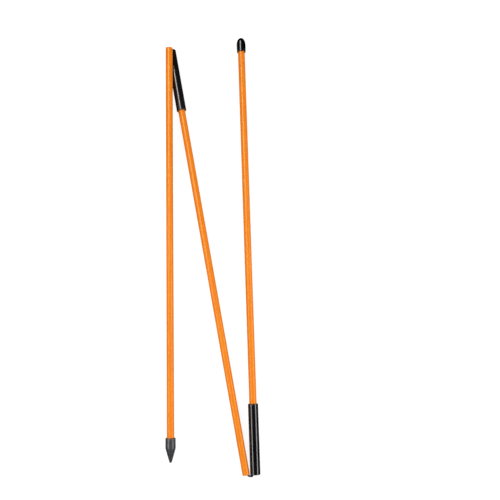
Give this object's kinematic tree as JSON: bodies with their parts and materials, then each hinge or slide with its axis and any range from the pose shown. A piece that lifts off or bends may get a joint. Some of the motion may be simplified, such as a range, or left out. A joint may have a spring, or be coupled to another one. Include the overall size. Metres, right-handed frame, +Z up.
{
  "type": "driveway snow marker",
  "caption": "Folding driveway snow marker: orange fibreglass tubes on an inner elastic cord, joined by plug-in sleeves, with a ground spike and a rounded end cap, lying folded.",
  "frame": {"origin": "on the surface that the folded marker lies on, under the middle of its bounding box", "axes": "+Z up from that surface, +Y the way that the lower tube points from its ground spike as seen from above, +X from the lower tube towards the upper one"},
  "size_m": [0.0902, 0.4418, 0.0169],
  "materials": {
    "orange_fibreglass": "smooth pultruded fibreglass with a thin clear resin surface",
    "sleeve_plastic": "satin moulded nylon",
    "cap_rubber": "smooth dipped vinyl rubber",
    "spike_plastic": "satin moulded plastic",
    "shock_cord": "tight braided polyester over rubber strands",
    "washer_steel": "plain zinc-plated"
  },
  "bodies": {
    "lower_section": {"ground_spike": "spike_plastic", "lower_tube": "orange_fibreglass", "spike_washer": "washer_steel", "spike_knot": "shock_cord", "lower_cord": "shock_cord"},
    "lower_slide": {"lower_cord_lead": "shock_cord"},
    "middle_section": {"lower_sleeve": "sleeve_plastic", "middle_tube": "orange_fibreglass", "middle_cord": "shock_cord", "lower_cord_fold": "shock_cord"},
    "upper_slide": {"middle_cord_lead": "shock_cord"},
    "upper_section": {"upper_sleeve": "sleeve_plastic", "upper_tube": "orange_fibreglass", "end_cap": "cap_rubber", "cap_washer": "washer_steel", "cap_knot": "shock_cord", "upper_cord": "shock_cord", "upper_cord_fold": "shock_cord"}
  },
  "joints": [
    {"name": "lower_plug", "type": "slide", "parent": "lower_section", "child": "lower_slide", "axis": [0, -0.9998, -0.0213], "range_m": [0, 0.0353], "deforming": ["lower_cord", "lower_cord_lead", "middle_cord"]},
    {"name": "lower_fold", "type": "hinge", "parent": "lower_slide", "child": "middle_section", "pos_m": [-0.03977, 0.20927, 0.00914], "axis": [0.9919, 0.0808, 0.0981], "range_deg": [0, 180.29], "deforming": ["lower_cord_fold"]},
    {"name": "upper_plug", "type": "slide", "parent": "middle_section", "child": "upper_slide", "axis": [-0.1638, 0.9865, 0], "range_m": [0, 0.0353], "deforming": ["middle_cord_lead", "upper_cord"]},
    {"name": "upper_fold", "type": "hinge", "parent": "upper_slide", "child": "upper_section", "pos_m": [0.03603, -0.21901, 0.00485], "axis": [0, 0, -1], "range_deg": [-8.3, 171.45], "deforming": ["upper_cord_fold"]}
  ]
}
